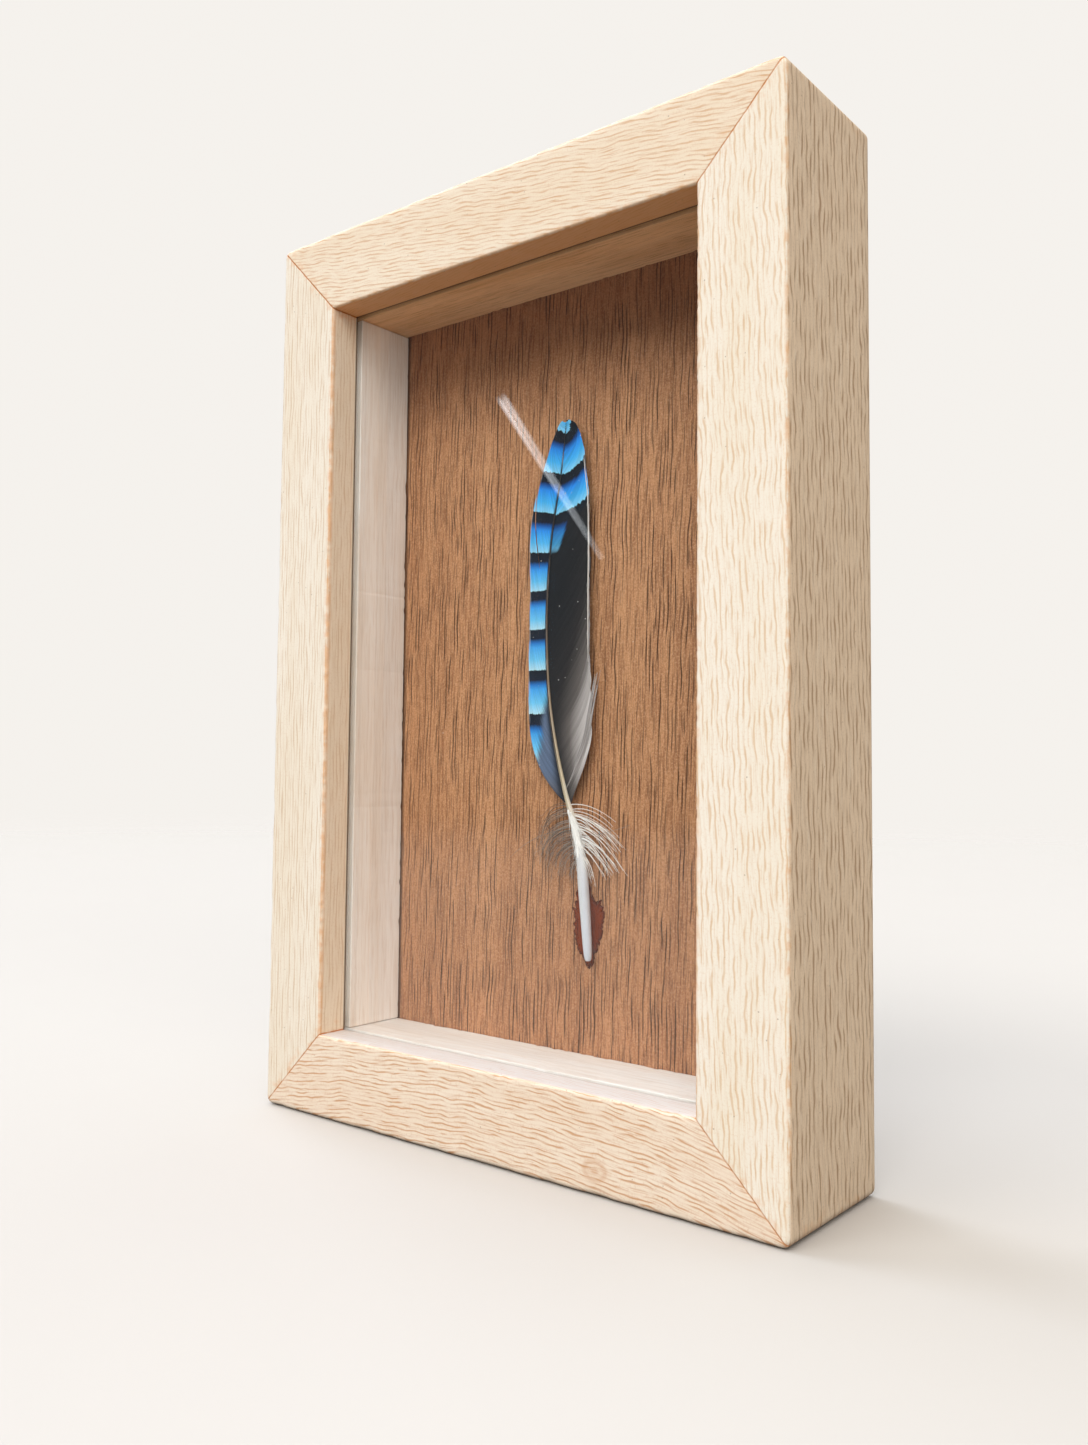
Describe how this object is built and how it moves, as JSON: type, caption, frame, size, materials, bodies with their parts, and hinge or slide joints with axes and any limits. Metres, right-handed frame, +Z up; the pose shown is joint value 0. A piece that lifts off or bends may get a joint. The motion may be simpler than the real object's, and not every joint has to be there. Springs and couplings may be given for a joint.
{
  "type": "framed jay feather",
  "caption": "Small standing box frame in pale wood, with a barred blue wing feather glued to a brown veneered panel behind glass.",
  "frame": {"origin": "middle of the frame's foot, on the surface that it stands on", "axes": "+Z up along the feather, +Y to the back of the frame, +X to the right seen from the glazed front"},
  "size_m": [0.07, 0.018, 0.1055],
  "materials": {
    "pale_wood": "sanded, unvarnished pale wood with short tan flecks",
    "spacer_wood": "smooth pale strip, unvarnished",
    "panel_veneer": "open-pored brown veneer, satin",
    "clear_glass": "clear float glass",
    "feather": "blue and black barred barbs, dark inner vane, white downy foot and translucent quill",
    "dried_glue": "dried glue that darkened the veneer, slightly glossy"
  },
  "bodies": {
    "root": {"frame_top": "pale_wood", "frame_bottom": "pale_wood", "frame_left": "pale_wood", "frame_right": "pale_wood", "glass_pane": "clear_glass", "spacer_top": "spacer_wood", "spacer_bottom": "spacer_wood", "spacer_left": "spacer_wood", "spacer_right": "spacer_wood", "backing_panel": "panel_veneer", "glue_spot": "dried_glue", "feather": "feather"}
  },
  "joints": []
}
